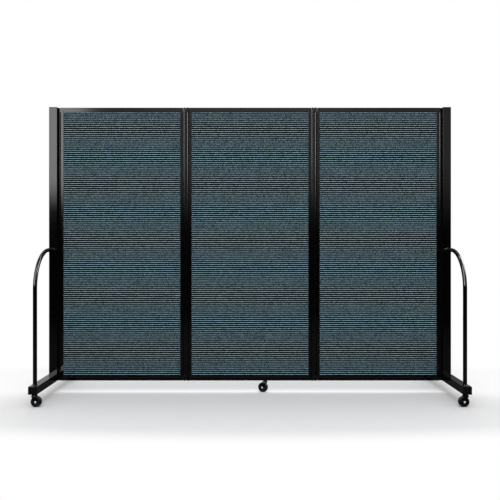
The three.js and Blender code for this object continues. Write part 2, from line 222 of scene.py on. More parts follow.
def dress(piece, material, node_name):
    """Give a piece its material and slot, and let it stand for a node and ride on its body.

    Its flat faces are first made to shade flat right up to their rounded corners.
    """
    alone(piece)
    bpy.ops.object.modifier_add(type="WEIGHTED_NORMAL")
    piece.modifiers[-1].keep_sharp = True
    bpy.ops.object.modifier_apply(modifier=piece.modifiers[-1].name)
    piece.data.materials.clear()
    piece.data.materials.append(material)
    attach(piece, body_of_node[node_name])
    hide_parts(node_name)


def anodised_aluminium(name, along):
    """Black anodised aluminium extrusion: near black, satin, with faint die lines along it."""
    die_line = 0.6 * MM
    line_length = 400 * MM
    stretch = [1 / line_length if axis == along else 1 / die_line for axis in "XYZ"]
    material, tree = new_material(name)
    place = node(tree, "ShaderNodeTexCoord")
    drawn = node(tree, "ShaderNodeMapping", {"Vector": place.outputs["Object"], "Scale": stretch})
    lines = node(tree, "ShaderNodeTexNoise", {
        "Vector": drawn.outputs[0], "Scale": 1, "Detail": 2})
    gloss = node(tree, "ShaderNodeMapRange", {
        "Value": lines.outputs["Fac"], "From Min": 0.3, "From Max": 0.7,
        "To Min": 0.07, "To Max": 0.1})
    bump = node(tree, "ShaderNodeBump", {
        "Height": lines.outputs["Fac"], "Strength": 0.12, "Distance": 0.02 * MM})
    skin = node(tree, "ShaderNodeBsdfPrincipled", {
        "Base Color": linear("060607"), "IOR": 1.55, "Roughness": gloss.outputs["Result"],
        "Normal": bump.outputs["Normal"]})
    node(tree, "ShaderNodeOutputMaterial", {"Surface": skin.outputs[0]})
    return material


upright_aluminium = anodised_aluminium("black anodised aluminium, upright", "Z")
level_aluminium = anodised_aluminium("black anodised aluminium, level", "X")


def stile(node_name, way, hinged):
    """A stile whose board side points along X by way, with the barrel on the other side.

    A hinged barrel stops short at both ends, to leave room for the link. One without a link is
    braced by a lug at both ends, and its empty bore shows.
    """
    low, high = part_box(node_name)
    plane = low.x - (pin_offset - barrel_radius) if way > 0 else high.x + pin_offset - barrel_radius
    half = frame_depth / 2
    inside = half - channel_lip
    web = stile_start + channel_web
    channel = [(stile_start, -half), (stile_edge, -half), (stile_edge, -inside), (web, -inside),
               (web, inside), (stile_edge, inside), (stile_edge, half), (stile_start, half)]
    neck = barrel_neck / 2
    lean = math.degrees(math.asin(neck / barrel_radius))
    seat = stile_start + sunk
    barrel = [(seat, neck), *arc((pin_offset, 0), barrel_radius, lean, 360 - lean, round_steps),
              (seat, -neck)]
    cut_back = link_height + running_gap if hinged else 0
    runs = [(channel, low.z, high.z), (barrel, low.z + cut_back, high.z - cut_back)]
    if not hinged:
        lug = [(pin_offset, -lug_half), (seat, -lug_half), (seat, lug_half), (pin_offset, lug_half)]
        runs += [(lug, low.z, low.z + link_height), (lug, high.z - link_height, high.z)]
    parts = []
    for outline, bottom, top in runs:
        points = [(plane + way * x, y, bottom) for x, y in outline]
        parts.append(trace(node_name + "_profile", points))
        pull((0, 0, top - bottom))
        finish(parts[-1], edge=extrusion_edge)
    if not hinged:
        ring = [(plane + way * pin_offset + x, y, low.z - sunk)
                for x, y in arc((0, 0), pin_bore, 0, 360, round_steps)[:-1]]
        drill = trace(node_name + "_drill", ring)
        pull((0, 0, high.z - low.z + 2 * sunk))
        finish(drill)
        for part in parts[1:]:
            cut(part, drill, "DIFFERENCE")
        bpy.data.objects.remove(drill)
    piece = join(parts)
    piece.name = "dressed_" + node_name
    return piece


for model_node, way, hinged, like, turned_round in (
    ("panel_1_right_stile", -1, True, ("panel_2_right_stile",),
     ("panel_2_left_stile", "panel_3_left_stile")),
    ("panel_1_left_stile", 1, False, (), ("panel_3_right_stile",)),
):
    model = stile(model_node, way, hinged)
    stiles = {model_node: model}
    for name in like:
        stiles[name] = copy_to(model, model_node, name)
    for name in turned_round:
        stiles[name] = copy_to(model, model_node, name, turn=math.pi)
    for name, piece in stiles.items():
        dress(piece, upright_aluminium, name)

# Panel rails. The same aluminium, drawn as a channel for the board over a hollow box. The box
# runs on at both ends as a tongue in the stile's channel, where a screw holds it.
rail_box = 12.8 * MM
rail_height = 27.3 * MM
tongue_depth = 15.8 * MM


def rail(node_name, way):
    """A rail whose channel opens upwards, or downwards where way is -1."""
    low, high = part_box(node_name)
    bottom = low.z if way > 0 else high.z
    half = frame_depth / 2
    inside = half - channel_lip
    channel = [(-half, 0), (half, 0), (half, rail_height), (inside, rail_height),
               (inside, rail_box), (-inside, rail_box), (-inside, rail_height),
               (-half, rail_height)]
    reach = tongue_depth / 2
    tongue = [(-reach, 0), (reach, 0), (reach, rail_box - sunk), (-reach, rail_box - sunk)]
    shoulder = stile_edge - stile_start - channel_web
    parts = []
    for outline, start, end, lift in (
        (channel, low.x + shoulder, high.x - shoulder, 0), (tongue, low.x, high.x, sunk / 2),
    ):
        points = [(start, y, bottom + way * (z + lift)) for y, z in outline]
        parts.append(trace(node_name + "_profile", points))
        pull((end - start, 0, 0))
        finish(parts[-1], edge=extrusion_edge)
    piece = join(parts)
    piece.name = "dressed_" + node_name
    return piece


for place, way in (("bottom", 1), ("top", -1)):
    model_node = f"panel_1_{place}_rail"
    rails = {model_node: rail(model_node, way)}
    for number in (2, 3):
        name = f"panel_{number}_{place}_rail"
        rails[name] = copy_to(rails[model_node], model_node, name)
    for name, piece in rails.items():
        dress(piece, level_aluminium, name)

# Boards. A light fibreboard core, with a ribbed cloth stretched over its front and its back and
# glued down inside the frame's channels. The cloth's own cords are finer than the picture can
# show, so its level ribs are drawn 13 mm apart, which is the spacing that the picture has.
rib_pitch = 12.965 * MM
first_rib = 112 * MM
rib_rise = 1.3 * MM
rib_share = 0.36
rib_steps = 8
groove_depth = 6.8 * MM
cloth_thickness = 0.6 * MM
row_merge = 0.01 * MM
core_half = 6.1 * MM
core_edge = 0.5 * MM


def ribbed_cloth():
    """Blue-grey upholstery cloth: level cords over grooves painted black as shade, flecked by its
    two yarns.

    A slub is a short thick place in a cord, lighter or darker than the rest. A tint is a longer
    stretch where one of the two yarns shows more. The twist is the slant of the yarn's strands,
    drawn by a wave texture, which at a scale of 1 has 20 / 2 pi waves to the metre. Its bands are
    painted shade between the strands and painted highlight along them.
    """
    twist_length = 2.4 * MM
    twist_slant = 35
    slub_length = 4 * MM
    tint_length = 35 * MM
    cord_height = rib_pitch / 2
    cord_end = 0.11
    groove_start = 0.17
    slub_waver = 0.06
    spare_ribs = 1000
    waves_per_metre = 20 / (2 * math.pi)
    material, tree = new_material("ribbed upholstery cloth")
    place = node(tree, "ShaderNodeTexCoord").outputs["Object"]
    slub_place = node(tree, "ShaderNodeMapping", {
        "Vector": place, "Scale": (1 / slub_length, 1 / slub_length, 1 / cord_height)})
    slubs = node(tree, "ShaderNodeTexVoronoi", {"Vector": slub_place.outputs[0], "Scale": 1})
    slub = node(tree, "ShaderNodeSeparateColor", {0: slubs.outputs["Color"]}).outputs[0]
    tint_place = node(tree, "ShaderNodeMapping", {
        "Vector": place, "Scale": (1 / tint_length, 1 / tint_length, 1 / cord_height)})
    tints = node(tree, "ShaderNodeTexNoise", {
        "Vector": tint_place.outputs[0], "Scale": 1, "Detail": 2})
    yarn_share = node(tree, "ShaderNodeMapRange", {
        "Value": tints.outputs["Fac"], "From Min": 0.35, "From Max": 0.65})
    # The height becomes the distance from the middle of the nearest rib, in pitches. The spare
    # ribs keep the count above zero.
    from_rib = node(tree, "ShaderNodeSeparateXYZ", {"Vector": place}).outputs["Z"]
    for operation, amount in (
        ("SUBTRACT", first_rib), ("DIVIDE", rib_pitch), ("ADD", spare_ribs + 0.5), ("FRACT", 0),
        ("SUBTRACT", 0.5), ("ABSOLUTE", 0),
    ):
        step = node(tree, "ShaderNodeMath", {0: from_rib, 1: amount}, operation=operation)
        from_rib = step.outputs[0]
    waver = node(tree, "ShaderNodeMath", {
        0: slub, 1: slub_waver, 2: from_rib}, operation="MULTIPLY_ADD")
    # Painted shade: the grooves between the cords are coloured near black, for the shade that falls
    # in them.
    groove_shade = node(tree, "ShaderNodeMapRange", {
        "Value": waver.outputs[0], "From Min": cord_end, "From Max": groove_start},
        interpolation_type="SMOOTHSTEP")
    yarn = node(tree, "ShaderNodeMix", {
        "Factor": yarn_share.outputs["Result"], 6: linear("8eabbf"), 7: linear("91b0b1")},
        data_type="RGBA")
    colour = node(tree, "ShaderNodeMix", {
        "Factor": groove_shade.outputs["Result"], 6: yarn.outputs[2], 7: linear("030a0d")},
        data_type="RGBA")
    spread = node(tree, "ShaderNodeMapRange", {"Value": slub, "To Min": 0.35, "To Max": 1.65})
    flecked = node(tree, "ShaderNodeMix", {
        "Factor": 1.0, 6: colour.outputs[2], 7: spread.outputs["Result"]},
        data_type="RGBA", blend_type="MULTIPLY")
    strand_place = node(tree, "ShaderNodeMapping", {
        "Vector": place, "Rotation": (0, math.radians(twist_slant), 0)})
    strands = node(tree, "ShaderNodeTexWave", {
        "Vector": strand_place.outputs[0], "Scale": 1 / (waves_per_metre * twist_length),
        "Distortion": 1.5, "Detail": 2, "Detail Scale": 2})
    # Painted shade and highlight: the colour is darkened in bands between the twisted strands and
    # lightened along them.
    painted_strand_shade = node(tree, "ShaderNodeMapRange", {
        "Value": strands.outputs["Fac"], "To Min": 0.62, "To Max": 1.38})
    twisted = node(tree, "ShaderNodeMix", {
        "Factor": 1.0, 6: flecked.outputs[2], 7: painted_strand_shade.outputs["Result"]},
        data_type="RGBA", blend_type="MULTIPLY")
    bump = node(tree, "ShaderNodeBump", {
        "Height": strands.outputs["Fac"], "Strength": 0.5, "Distance": 0.4 * MM})
    cloth = node(tree, "ShaderNodeBsdfPrincipled", {
        "Base Color": twisted.outputs[2], "Roughness": 0.95, "Specular IOR Level": 0.05,
        "Normal": bump.outputs["Normal"]})
    node(tree, "ShaderNodeOutputMaterial", {"Surface": cloth.outputs[0]})
    return material


def fibreboard():
    """Pressed fibreboard: pale brown and matt, with short fibres."""
    fibre = 1.5 * MM
    material, tree = new_material("fibreboard")
    place = node(tree, "ShaderNodeTexCoord").outputs["Object"]
    fibres = node(tree, "ShaderNodeTexNoise", {"Vector": place, "Scale": 1 / fibre, "Detail": 3})
    colour = node(tree, "ShaderNodeMix", {
        "Factor": fibres.outputs["Fac"], 6: linear("8a6f50"), 7: linear("a88a66")},
        data_type="RGBA")
    board = node(tree, "ShaderNodeBsdfPrincipled", {
        "Base Color": colour.outputs[2], "Roughness": 0.85})
    node(tree, "ShaderNodeOutputMaterial", {"Surface": board.outputs[0]})
    return material


cloth_material = ribbed_cloth()
core_material = fibreboard()


def front_cloth(name, low, high):
    """The front cloth: one rib is drawn, then repeated up the panel and given its thickness.

    A rib rises in a half wave between two flat halves of a groove. Each flat has a point in its
    middle, which keeps it flat when it is shaded smooth.
    """
    start = first_rib - rib_pitch * (0.5 + math.floor((first_rib - low.z) / rib_pitch - 0.5))
    rows = math.floor((high.z - start) / rib_pitch)
    rib_start = (1 - rib_share) / 2
    outline = [(0, 0), (rib_start / 2, 0)]
    for i in range(rib_steps + 1):
        rise = rib_rise * math.sin(math.pi * i / rib_steps)
        outline.append((rib_start + rib_share * i / rib_steps, rise))
    outline += [(1 - rib_start / 2, 0), (1, 0)]
    profile = [(low.x, -groove_depth - rise, start + rib_pitch * share) for share, rise in outline]
    piece = trace(name, profile, filled=False)
    pull((high.x - low.x, 0, 0))
    alone(piece)
    bpy.ops.object.modifier_add(type="ARRAY")
    repeat = piece.modifiers[-1]
    repeat.count = rows
    repeat.use_relative_offset = False
    repeat.use_constant_offset = True
    repeat.constant_offset_displace = (0, 0, rib_pitch)
    repeat.use_merge_vertices = True
    repeat.merge_threshold = row_merge
    bpy.ops.object.modifier_apply(modifier=repeat.name)
    bpy.ops.object.mode_set(mode="EDIT")
    bpy.ops.mesh.select_all(action="SELECT")
    bpy.ops.mesh.normals_make_consistent(inside=False)
    bpy.ops.object.mode_set(mode="OBJECT")
    bpy.ops.object.modifier_add(type="SOLIDIFY")
    wall = piece.modifiers[-1]
    wall.thickness = cloth_thickness
    wall.offset = -1 if piece.data.polygons[0].normal.y < 0 else 1
    bpy.ops.object.modifier_apply(modifier=wall.name)
    return finish(piece, crease=60)


low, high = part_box("panel_1_board")
bpy.ops.object.select_all(action="DESELECT")
bpy.ops.mesh.primitive_cube_add(size=1, location=(low + high) / 2, scale=(
    high.x - low.x, 2 * core_half, high.z - low.z))
core_model = bpy.context.object
finish(core_model, edge=core_edge)
cloth_model = front_cloth("cloth_model", low, high)
for number in (1, 2, 3):
    board = f"panel_{number}_board"
    core = copy_to(core_model, "panel_1_board", board)
    core.name = f"panel_{number}_core"
    dress(core, core_material, board)
    for side, turn in (("front", 0), ("back", math.pi)):
        cloth = copy_to(cloth_model, "panel_1_board", board, turn)
        cloth.name = f"panel_{number}_{side}_cloth"
        dress(cloth, cloth_material, board)
for model in (core_model, cloth_model):
    bpy.data.objects.remove(model)

# Hinge links. A full-length aluminium bar joins two panels. Its two ends are wide knuckles that
# take the pins. Between them it is hollowed on both sides, so that the barrels turn in it.
link_radius = 7.2 * MM
web_depth = 9 * MM
knuckle_edge = 0.4 * MM
knuckle_steps = 20


def hollow_side(side):
    """The web's right side, or its left where side is -1, hollowed to seat a barrel."""
    seat = barrel_radius + running_gap
    spread = math.degrees(math.asin(web_depth / 2 / seat))
    points = arc((pin_offset, 0), seat, 180 + spread, 180 - spread, knuckle_steps)
    return [(side * x, y) for x, y in points]


low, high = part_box("hinge_1_link")
plane = (low.x + high.x) / 2
knuckle = [*arc((pin_offset, 0), link_radius, -90, 90, knuckle_steps),
           *arc((-pin_offset, 0), link_radius, 90, 270, knuckle_steps)]
web = [*hollow_side(1), *reversed(hollow_side(-1))]
parts = []
for outline, bottom, top in (
    (knuckle, high.z - link_height, high.z), (knuckle, low.z, low.z + link_height),
    (web, low.z + link_height - sunk, high.z - link_height + sunk),
):
    parts.append(trace("link_profile", [(plane + x, y, bottom) for x, y in outline]))
    pull((0, 0, top - bottom))
    finish(parts[-1], edge=knuckle_edge)
first_link = join(parts)
first_link.name = "dressed_hinge_1_link"
second_link = copy_to(first_link, "hinge_1_link", "hinge_2_link")
for name, link in (("hinge_1_link", first_link), ("hinge_2_link", second_link)):
    dress(link, upright_aluminium, name)

# Hinge pins. Full-length steel rods, blackened, with a pressed head at both ends. The heads show
# as two small domes on top of each hinge.
pin_radius = 3 * MM
pin_head_dome = 1.2 * MM
dome_steps = 5
turned_steps = 32


def blackened_steel():
    """Oil-blackened steel: dark grey metal, fairly smooth, with a little unevenness."""
    uneven_patch = 4 * MM
    material, tree = new_material("blackened steel")
    place = node(tree, "ShaderNodeTexCoord").outputs["Object"]
    cloud = node(tree, "ShaderNodeTexNoise", {
        "Vector": place, "Scale": 1 / uneven_patch, "Detail": 2})
    gloss = node(tree, "ShaderNodeMapRange", {
        "Value": cloud.outputs["Fac"], "To Min": 0.25, "To Max": 0.42})
    steel = node(tree, "ShaderNodeBsdfPrincipled", {
        "Base Color": linear("3a3b3e"), "Metallic": 1.0, "Roughness": gloss.outputs["Result"]})
    node(tree, "ShaderNodeOutputMaterial", {"Surface": steel.outputs[0]})
    return material


def turned(name, profile, steps, axis=(0, 0, 1), centre=(0, 0, 0)):
    """Spin an open profile once round an axis."""
    piece = trace(name, profile, filled=False)
    bpy.ops.mesh.spin(steps=steps, angle=2 * math.pi, center=centre, axis=axis)
    return piece


pin_material = blackened_steel()
pin_names = [f"hinge_{number}_{side}_pin" for number in (1, 2) for side in ("left", "right")]
low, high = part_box(pin_names[0])
x = (low.x + high.x) / 2
head = (high.x - low.x) / 2
link_low, link_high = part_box("hinge_1_link")
dome = [(head * x_share, pin_head_dome * z_share)
        for x_share, z_share in arc((0, 0), 1, 0, 90, dome_steps)]
upper = [(pin_radius, link_high.z + running_gap), (head, link_high.z + running_gap),
         *((r, high.z - pin_head_dome + h) for r, h in dome[:-1]), (0, high.z)]
lower = [(r, link_low.z + link_high.z - z) for r, z in reversed(upper)]
pin_model = finish(turned(
    "pin", [(x + r, 0, z) for r, z in lower + upper], turned_steps, centre=(x, 0, 0)))
for name in pin_names:
    dress(copy_to(pin_model, pin_names[0], name), pin_material, name)
bpy.data.objects.remove(pin_model)

# Posts. Square steel tube with small rounded corners, coated with gloss black powder. The coat
# is smooth from a step away and has a fine orange peel close up.
post_corner = 1.2 * MM
post_wall = 2 * MM
inner_corner = 0.4 * MM
corner_steps = 6


def powder_coat():
    """Gloss black powder coat: deep black, mirror-like, with a fine orange peel."""
    peel = 2.5 * MM
    flow_patch = 60 * MM
    material, tree = new_material("gloss black powder coat")
    place = node(tree, "ShaderNodeTexCoord").outputs["Object"]
    ripple = node(tree, "ShaderNodeTexNoise", {"Vector": place, "Scale": 1 / peel, "Detail": 1})
    cloud = node(tree, "ShaderNodeTexNoise", {
        "Vector": place, "Scale": 1 / flow_patch, "Detail": 2})
    gloss = node(tree, "ShaderNodeMapRange", {
        "Value": cloud.outputs["Fac"], "From Min": 0.3, "From Max": 0.7,
        "To Min": 0.06, "To Max": 0.09})
    bump = node(tree, "ShaderNodeBump", {
        "Height": ripple.outputs["Fac"], "Strength": 0.08, "Distance": 0.03 * MM})
    coat = node(tree, "ShaderNodeBsdfPrincipled", {
        "Base Color": linear("040405"), "IOR": 1.53, "Roughness": gloss.outputs["Result"],
        "Normal": bump.outputs["Normal"]})
    node(tree, "ShaderNodeOutputMaterial", {"Surface": coat.outputs[0]})
    return material


def rounded_rectangle(width, height, radius, steps):
    """The outline of a rectangle with round corners, centred on zero."""
    x, y = width / 2 - radius, height / 2 - radius
    return [*arc((x, y), radius, 0, 90, steps), *arc((-x, y), radius, 90, 180, steps),
            *arc((-x, -y), radius, 180, 270, steps), *arc((x, -y), radius, 270, 360, steps)]


def tube(name, width, height, corner, wall, place, shift):
    """Bridge the outlines outside and inside the wall, and pull that ring into a tube."""
    rings = []
    for depth, radius in ((0, corner), (wall, inner_corner)):
        outline = rounded_rectangle(width - 2 * depth, height - 2 * depth, radius, corner_steps)
        rings.append(trace(name, [place(*point) for point in (*outline, outline[0])], filled=False))
        bpy.ops.mesh.remove_doubles(threshold=same_point)
    piece = join(rings)
    piece.name = name
    bpy.ops.object.mode_set(mode="EDIT")
    bpy.ops.mesh.select_all(action="SELECT")
    bpy.ops.mesh.bridge_edge_loops()
    bpy.ops.mesh.select_all(action="SELECT")
    pull(shift)
    return finish(piece)


post_material = powder_coat()
low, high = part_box("left_post")
left_post = tube(
    "dressed_left_post", high.x - low.x, high.y - low.y, post_corner, post_wall,
    lambda x, y: ((low.x + high.x) / 2 + x, y, low.z), (0, 0, high.z - low.z))
right_post = copy_to(left_post, "left_post", "right_post")
for name, post in (("left_post", left_post), ("right_post", right_post)):
    dress(post, post_material, name)

# Post caps and leg caps. Moulded black plastic plugs: a plate over the tube's end, and a hollow
# plug inside the tube that grips its walls. The mould leaves a satin gloss and a fine grain.
cap_gap = 0.3 * MM
cap_edge = 0.8 * MM
moulded_edge_steps = 3


def moulded_plastic(name, colour, roughness, specular, grain):
    """Moulded plastic: even colour, satin gloss, and the grain of the mould."""
    material, tree = new_material(name)
    place = node(tree, "ShaderNodeTexCoord").outputs["Object"]
    pits = node(tree, "ShaderNodeTexNoise", {"Vector": place, "Scale": 1 / grain, "Detail": 2})
    gloss = node(tree, "ShaderNodeMapRange", {
        "Value": pits.outputs["Fac"], "To Min": roughness - 0.05, "To Max": roughness + 0.08})
    bump = node(tree, "ShaderNodeBump", {
        "Height": pits.outputs["Fac"], "Strength": 0.2, "Distance": 0.05 * MM})
    plastic = node(tree, "ShaderNodeBsdfPrincipled", {
        "Base Color": linear(colour), "IOR": 1.5, "Specular IOR Level": specular,
        "Roughness": gloss.outputs["Result"], "Normal": bump.outputs["Normal"]})
    node(tree, "ShaderNodeOutputMaterial", {"Surface": plastic.outputs[0]})
    return material


def cap(name, plate, plug, corner, outward, seat_place):
    """A plate, pulled outwards to its thickness, and a plug, pulled the other way."""
    parts = []
    for size, along in ((plate, 1), (plug, -1)):
        width, height, length = size
        flat = rounded_rectangle(width, height, corner, corner_steps)
        points = [Vector((x, y, 0)) for x, y in flat]
        parts.append(trace(name + "_profile", points))
        pull((0, 0, along * length))
        finish(parts[-1], edge=cap_edge, segments=moulded_edge_steps)
    piece = join(parts)
    piece.name = name
    alone(piece)
    piece.rotation_euler = Vector((0, 0, 1)).rotation_difference(Vector(outward)).to_euler()
    piece.location = seat_place
    bpy.ops.object.transform_apply(location=True, rotation=True, scale=True)
    return piece


cap_material = moulded_plastic(
    "moulded black plastic", "050506", roughness=0.2, specular=0.5, grain=0.8 * MM)
low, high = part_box("left_post_cap")
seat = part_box("left_post")[1].z + cap_gap
width = high.x - low.x
inner = width - 2 * (post_wall + cap_gap)
left_cap = cap("dressed_left_post_cap", (width, width, high.z - seat), (inner, inner, seat - low.z),
               post_corner, (0, 0, 1), ((low.x + high.x) / 2, 0, seat))
right_cap = copy_to(left_cap, "left_post_cap", "right_post_cap")
for name, piece in (("left_post_cap", left_cap), ("right_post_cap", right_cap)):
    dress(piece, cap_material, name)

# Strips between the posts and the end panels. A black sponge rubber extrusion, glued to the post,
# with a hollow that seats the back of the panel's outer barrel. Its near-black, barely glossy skin
# is painted shade: it stands in for the shade in the gap and shows there as a black line.
lip = 0.9 * MM
lip_end = 6 * MM
strip_edge = 0.2 * MM


def gap_shade_sponge_rubber():
    """Black sponge rubber with fine open pores, near black and barely glossy as painted shade for
    the gap.
    """
    pore = 0.7 * MM
    material, tree = new_material("black sponge rubber, painted gap shade")
    place = node(tree, "ShaderNodeTexCoord").outputs["Object"]
    pores = node(tree, "ShaderNodeTexNoise", {"Vector": place, "Scale": 1 / pore, "Detail": 2})
    # Painted shade: the skin is kept near black and barely glossy, so that the gap reads as shade.
    colour = node(tree, "ShaderNodeMix", {
        "Factor": pores.outputs["Fac"], 6: linear("010101"), 7: linear("070707")}, data_type="RGBA")
    bump = node(tree, "ShaderNodeBump", {
        "Height": pores.outputs["Fac"], "Strength": 0.4, "Distance": 0.2 * MM})
    sponge = node(tree, "ShaderNodeBsdfPrincipled", {
        "Base Color": colour.outputs[2], "Roughness": 0.9, "Specular IOR Level": 0.05,
        "Normal": bump.outputs["Normal"]})
    node(tree, "ShaderNodeOutputMaterial", {"Surface": sponge.outputs[0]})
    return material


low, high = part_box("left_post_strip")
plane = low.x - running_gap
hug = barrel_radius + running_gap
end_angle = math.degrees(math.acos((lip_end - pin_offset) / hug))
outline = [*arc((pin_offset, 0), hug, 360 - end_angle, end_angle, knuckle_steps),
           (lip_end, hug + lip), (running_gap, hug + lip), (running_gap, -hug - lip),
           (lip_end, -hug - lip)]
left_strip = trace("dressed_left_post_strip", [(plane + x, y, low.z) for x, y in outline])
pull((0, 0, high.z - low.z))
finish(left_strip, edge=strip_edge)
right_strip = copy_to(left_strip, "left_post_strip", "right_post_strip", turn=math.pi)
gap_shade_strip_material = gap_shade_sponge_rubber()
for name, strip in (("left_post_strip", left_strip), ("right_post_strip", right_strip)):
    dress(strip, gap_shade_strip_material, name)

# Legs. Rectangular steel tube, powder-coated like the posts, which runs from front to back under
# the post. A plastic cap like the post's closes each end.
leg_corner = 1.2 * MM
leg_wall = 2 * MM
low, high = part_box("left_leg")
middle = (low + high) / 2
left_leg = tube(
    "dressed_left_leg", high.x - low.x, high.z - low.z, leg_corner, leg_wall,
    lambda x, z: (middle.x + x, low.y, middle.z + z), (0, high.y - low.y, 0))
right_leg = copy_to(left_leg, "left_leg", "right_leg")
for name, leg in (("left_leg", left_leg), ("right_leg", right_leg)):
    dress(leg, post_material, name)

cap_low, cap_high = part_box("left_leg_front_cap")
plate_height, plate_width = cap_high.z - cap_low.z, cap_high.x - cap_low.x
seat = low.y - cap_gap
shrink = 2 * (leg_wall + cap_gap)
leg_cap_model = cap(
    "leg_cap", (plate_width, plate_height, seat - cap_low.y),
    (plate_width - shrink, plate_height - shrink, cap_high.y - seat), leg_corner,
    (0, -1, 0), (middle.x, seat, middle.z))
for side in ("left", "right"):
    for face, turn in (("front", 0), ("rear", math.pi)):
        name = f"{side}_leg_{face}_cap"
        piece = copy_to(leg_cap_model, "left_leg_front_cap", name, turn)
        dress(piece, cap_material, name)
bpy.data.objects.remove(leg_cap_model)

# Braces. Round steel tube, bent once on a mandrel, welded to the leg's top and to the post and
# coated with them. A small weld bead runs round each end.
brace_radius = 11.5 * MM
brace_bend = 224 * MM
bead_width = 2.5 * MM
bead_height = 3 * MM
tube_steps = 40
bend_steps = 32


def swell(factor, centre):
    """Scale the selected ring about a centre."""
    bpy.ops.transform.resize(value=(factor,) * 3, center_override=centre)


low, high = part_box("left_front_brace")
x = (low.x + high.x) / 2
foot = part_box("left_leg")[1].z
post_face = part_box("left_post")[0].y
run_y = low.y + brace_radius
top_z = high.z - brace_radius
bead = 1 + bead_width / brace_radius
bpy.ops.object.select_all(action="DESELECT")
bpy.ops.mesh.primitive_circle_add(
    vertices=tube_steps, radius=brace_radius, location=(x, run_y, foot))
brace_model = bpy.context.object
bpy.ops.object.mode_set(mode="EDIT")
bpy.ops.mesh.select_all(action="SELECT")
swell(bead, (x, run_y, foot))
pull((0, 0, bead_height / 3))
pull((0, 0, bead_height * 2 / 3))
swell(1 / bead, (x, run_y, foot + bead_height))
pull((0, 0, top_z - brace_bend - foot - bead_height))
bpy.ops.mesh.spin(steps=bend_steps, angle=math.pi / 2, axis=(1, 0, 0),
                  center=(x, run_y + brace_bend, top_z - brace_bend))
reach = post_face - (run_y + brace_bend)
pull((0, reach - bead_height, 0))
pull((0, bead_height * 2 / 3, 0))
swell(bead, (x, post_face - bead_height / 3, top_z))
pull((0, bead_height / 3, 0))
finish(brace_model)
for side in ("left", "right"):
    for face, turn in (("front", 0), ("rear", math.pi)):
        name = f"{side}_{face}_brace"
        brace = copy_to(brace_model, "left_front_brace", name, turn)
        dress(brace, post_material, name)
bpy.data.objects.remove(brace_model)

# Casters. Each is a swivel caster: a threaded stem with its bearing race, a raked nylon fork, an
# axle bolt with bright domed heads, and a rubber wheel. All five are alike, so each part is made
# once, with its wheel trailing along +X from a stem on the upright axis, and then copied.
caster_names = ("left_front", "left_rear", "right_front", "right_rear", "middle")
round_corner_steps = 8
stem_low, stem_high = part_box("right_rear_caster_stem")
race_radius = (stem_high.x - stem_low.x) / 2
wheel_low, wheel_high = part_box("right_rear_caster_wheel")
fork_low, fork_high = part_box("right_rear_caster_fork")
axle_low, axle_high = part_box("right_rear_caster_axle")
wheel_radius = (wheel_high.z - wheel_low.z) / 2
wheel_half = (wheel_high.y - wheel_low.y) / 2
fork_half = (fork_high.y - fork_low.y) / 2
axle_half = (axle_high.y - axle_low.y) / 2
trail = (middle_of("right_rear_caster_wheel") - middle_of("right_rear_caster_stem")).xy.length


def black_zinc():
    """Black zinc plate: a dark, satin metal with fine handling marks."""
    mark = 3 * MM
    material, tree = new_material("black zinc plate")
    place = node(tree, "ShaderNodeTexCoord").outputs["Object"]
    marks = node(tree, "ShaderNodeTexNoise", {"Vector": place, "Scale": 1 / mark, "Detail": 3})
    gloss = node(tree, "ShaderNodeMapRange", {
        "Value": marks.outputs["Fac"], "To Min": 0.26, "To Max": 0.38})
    plate = node(tree, "ShaderNodeBsdfPrincipled", {
        "Base Color": linear("26272a"), "Metallic": 1.0, "Roughness": gloss.outputs["Result"]})
    node(tree, "ShaderNodeOutputMaterial", {"Surface": plate.outputs[0]})
    return material


def zinc_flake():
    """Zinc flake coat: a silver-grey lacquer full of metal flakes, satin and finely speckled."""
    flake = 0.8 * MM
    material, tree = new_material("silver zinc flake coat")
    place = node(tree, "ShaderNodeTexCoord").outputs["Object"]
    flakes = node(tree, "ShaderNodeTexNoise", {"Vector": place, "Scale": 1 / flake, "Detail": 2})
    gloss = node(tree, "ShaderNodeMapRange", {
        "Value": flakes.outputs["Fac"], "To Min": 0.25, "To Max": 0.4})
    coat = node(tree, "ShaderNodeBsdfPrincipled", {
        "Base Color": linear("d2d4d6"), "Metallic": 0.25, "Roughness": gloss.outputs["Result"]})
    node(tree, "ShaderNodeOutputMaterial", {"Surface": coat.outputs[0]})
    return material


def tyre_rubber():
    """Black rubber tyre: nearly black and satin, with a little dust in patches."""
    dust_patch = 7 * MM
    material, tree = new_material("black rubber")
    place = node(tree, "ShaderNodeTexCoord").outputs["Object"]
    dust = node(tree, "ShaderNodeTexNoise", {"Vector": place, "Scale": 1 / dust_patch, "Detail": 4})
    colour = node(tree, "ShaderNodeMix", {
        "Factor": dust.outputs["Fac"], 6: linear("050505"), 7: linear("0e0e0e")}, data_type="RGBA")
    bump = node(tree, "ShaderNodeBump", {
        "Height": dust.outputs["Fac"], "Strength": 0.25, "Distance": 0.1 * MM})
    rubber = node(tree, "ShaderNodeBsdfPrincipled", {
        "Base Color": colour.outputs[2], "IOR": 1.45, "Roughness": 0.32,
        "Normal": bump.outputs["Normal"]})
    node(tree, "ShaderNodeOutputMaterial", {"Surface": rubber.outputs[0]})
    return material


# The stem's race is a short dark drum with a rounded lower edge.
race_height = 5.7 * MM
race_edge = 1.2 * MM
stem_radius = 5 * MM
stem_steps = 48
race_low = fork_high.z + running_gap
race_top = race_low + race_height
race_profile = [
    (0, stem_low.z), (stem_radius, stem_low.z), (stem_radius, race_low),
    *((race_radius - race_edge + race_edge * x, race_low + race_edge + race_edge * z)
      for x, z in arc((0, 0), 1, -90, 0, dome_steps)),
    (race_radius, race_top), (stem_radius, race_top), (stem_radius, stem_high.z), (0, stem_high.z),
]
stem = turned("stem", [(r, 0, z) for r, z in race_profile], stem_steps)
finish(stem, crease=30)

